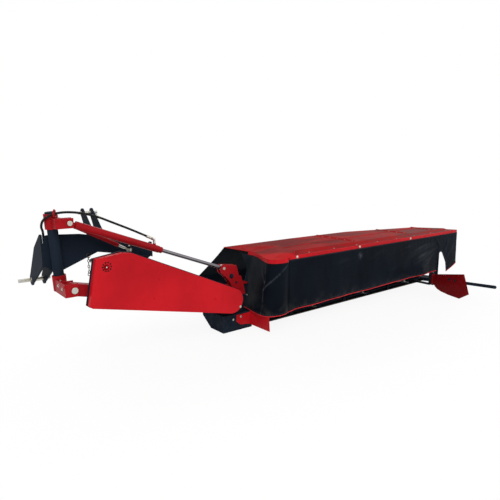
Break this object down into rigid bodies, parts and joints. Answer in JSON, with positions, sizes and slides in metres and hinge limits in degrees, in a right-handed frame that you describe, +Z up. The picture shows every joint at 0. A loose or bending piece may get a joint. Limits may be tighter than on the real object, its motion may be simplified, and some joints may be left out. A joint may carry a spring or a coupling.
{
  "type": "disc mower",
  "caption": "Side-mounted disc mower: oval discs on a low bar under a hood with hanging curtains, folded and lifted by a cylinder on a three-point headstock.",
  "frame": {"origin": "on the ground under the middle of the machine's bounding box", "axes": "+X outboard along the cutter bar, +Y the direction of travel, +Z up"},
  "size_m": [4.744, 1.8724, 1.1273],
  "materials": {
    "red_paint": "gloss red enamel",
    "dark_red_paint": "gloss dark red enamel",
    "black_paint": "semi-gloss black",
    "pvc_tarp": "coated black cloth",
    "steel": "plated steel",
    "chromed_rod": "polished",
    "rubber": "matt black hose cover",
    "disc_steel": "grey enamel"
  },
  "bodies": {
    "headstock": {"stock_plate": "black_paint", "pivot_post": "black_paint", "lugs_left": "black_paint", "lugs_right": "black_paint", "mast": "black_paint", "mast_pin": "steel", "hitch_pin_left": "steel", "hitch_pin_right": "steel", "far_pin": "steel"},
    "swing_frame": {"low_bracket": "red_paint", "top_bracket": "red_paint", "hose_loop": "steel", "arm_pin": "steel", "cylinder_pin": "steel", "break_pin": "steel"},
    "drive_arm": {"arm_beam": "red_paint", "belt_guard": "red_paint", "belt_casing": "black_paint"},
    "input": {"input_shaft": "steel"},
    "cutter_unit": {"cutter_bar": "black_paint", "skids": "black_paint", "inner_shoe": "black_paint", "gearbox": "black_paint", "lift_bracket": "red_paint", "rod_eye_pin": "steel", "hood_top": "dark_red_paint", "hood_rim": "red_paint", "hood_corner": "red_paint", "hood_frame": "black_paint", "outer_shoe": "black_paint", "tarp_rear": "pvc_tarp", "tarp_corner": "pvc_tarp", "tarp_front": "pvc_tarp", "tarp_outer": "pvc_tarp", "inner_swath_board": "red_paint", "swath_arm": "red_paint", "swath_pin": "steel"},
    "outer_swath_board": {"swath_board": "dark_red_paint", "swath_stick": "black_paint"},
    "lift_barrel": {"cylinder_barrel": "red_paint", "lift_hose": "rubber", "hose_coupler": "steel"},
    "lift_rod": {"cylinder_rod": "chromed_rod"},
    "break_away_tube": {"break_tube": "red_paint"},
    "break_away_rod": {"break_rod": "steel"},
    "rotor_1": {"disc_1": "disc_steel"},
    "rotor_2": {"disc_2": "disc_steel"},
    "rotor_3": {"disc_3": "disc_steel"},
    "rotor_4": {"disc_4": "disc_steel"},
    "rotor_5": {"disc_5": "disc_steel"},
    "rotor_6": {"disc_6": "disc_steel"},
    "rotor_7": {"disc_7": "disc_steel"}
  },
  "joints": [
    {"name": "swing", "type": "hinge", "parent": "headstock", "child": "swing_frame", "pos_m": [-2.188, 0.403, 0.556], "axis": [-0.0645, 0, 0.9979], "range_deg": [-20, 0]},
    {"name": "cutter_fold", "type": "hinge", "parent": "drive_arm", "child": "cutter_unit", "pos_m": [-0.925, 0.353, 0.317], "axis": [0, -1, 0], "range_deg": [-12, 78]},
    {"name": "arm_lift", "type": "hinge", "parent": "swing_frame", "child": "drive_arm", "pos_m": [-2.169, 0.225, 0.599], "axis": [0, -1, 0], "range_deg": [-2.5, 15.7]},
    {"name": "input_spin", "type": "hinge", "parent": "drive_arm", "child": "input", "pos_m": [-1.968, 0.274, 0.742], "axis": [0, 1, 0], "continuous": true},
    {"name": "barrel_swing", "type": "hinge", "parent": "swing_frame", "child": "lift_barrel", "pos_m": [-2.142, 0.293, 1.033], "axis": [0, -1, 0], "range_deg": [-0.5, 1.8]},
    {"name": "rod_slide", "type": "slide", "parent": "lift_barrel", "child": "lift_rod", "axis": [0.9347, 0, -0.3556], "range_m": [-0.32, 0.05]},
    {"name": "break_swing", "type": "hinge", "parent": "swing_frame", "child": "break_away_tube", "pos_m": [-2.111, 0.403, 1.016], "axis": [0, 0, 1], "range_deg": [0, 24.5]},
    {"name": "break_slide", "type": "slide", "parent": "break_away_tube", "child": "break_away_rod", "axis": [0.8854, 0, -0.4649], "range_m": [0, 0.007]},
    {"name": "board_swing", "type": "hinge", "parent": "cutter_unit", "child": "outer_swath_board", "pos_m": [1.867, -0.037, 0.12], "axis": [0, 0, 1], "range_deg": [-30, 40]},
    {"name": "disc_1_spin", "type": "hinge", "parent": "cutter_unit", "child": "rotor_1", "pos_m": [-0.333, 0.353, 0.1], "axis": [0, 0, 1], "continuous": true},
    {"name": "disc_2_spin", "type": "hinge", "parent": "cutter_unit", "child": "rotor_2", "pos_m": [0.05, 0.353, 0.1], "axis": [0, 0, 1], "continuous": true},
    {"name": "disc_3_spin", "type": "hinge", "parent": "cutter_unit", "child": "rotor_3", "pos_m": [0.433, 0.353, 0.1], "axis": [0, 0, 1], "continuous": true},
    {"name": "disc_4_spin", "type": "hinge", "parent": "cutter_unit", "child": "rotor_4", "pos_m": [0.816, 0.353, 0.1], "axis": [0, 0, 1], "continuous": true},
    {"name": "disc_5_spin", "type": "hinge", "parent": "cutter_unit", "child": "rotor_5", "pos_m": [1.199, 0.353, 0.1], "axis": [0, 0, 1], "continuous": true},
    {"name": "disc_6_spin", "type": "hinge", "parent": "cutter_unit", "child": "rotor_6", "pos_m": [1.582, 0.353, 0.1], "axis": [0, 0, 1], "continuous": true},
    {"name": "disc_7_spin", "type": "hinge", "parent": "cutter_unit", "child": "rotor_7", "pos_m": [1.965, 0.353, 0.1], "axis": [0, 0, 1], "continuous": true}
  ],
  "couplings": [
    {"joint": "arm_lift", "follows": "cutter_fold", "ratio": 0.2},
    {"joint": "barrel_swing", "follows": "cutter_fold", "ratio": 0.02},
    {"joint": "rod_slide", "follows": "cutter_fold", "m_per_rad": -0.233},
    {"joint": "break_swing", "follows": "swing", "ratio": -1.2},
    {"joint": "break_slide", "follows": "swing", "m_per_rad": -0.018},
    {"joint": "input_spin", "follows": "disc_1_spin", "ratio": 0.185},
    {"joint": "disc_2_spin", "follows": "disc_1_spin", "ratio": -1},
    {"joint": "disc_3_spin", "follows": "disc_1_spin", "ratio": 1},
    {"joint": "disc_4_spin", "follows": "disc_1_spin", "ratio": -1},
    {"joint": "disc_5_spin", "follows": "disc_1_spin", "ratio": 1},
    {"joint": "disc_6_spin", "follows": "disc_1_spin", "ratio": -1},
    {"joint": "disc_7_spin", "follows": "disc_1_spin", "ratio": 1}
  ]
}
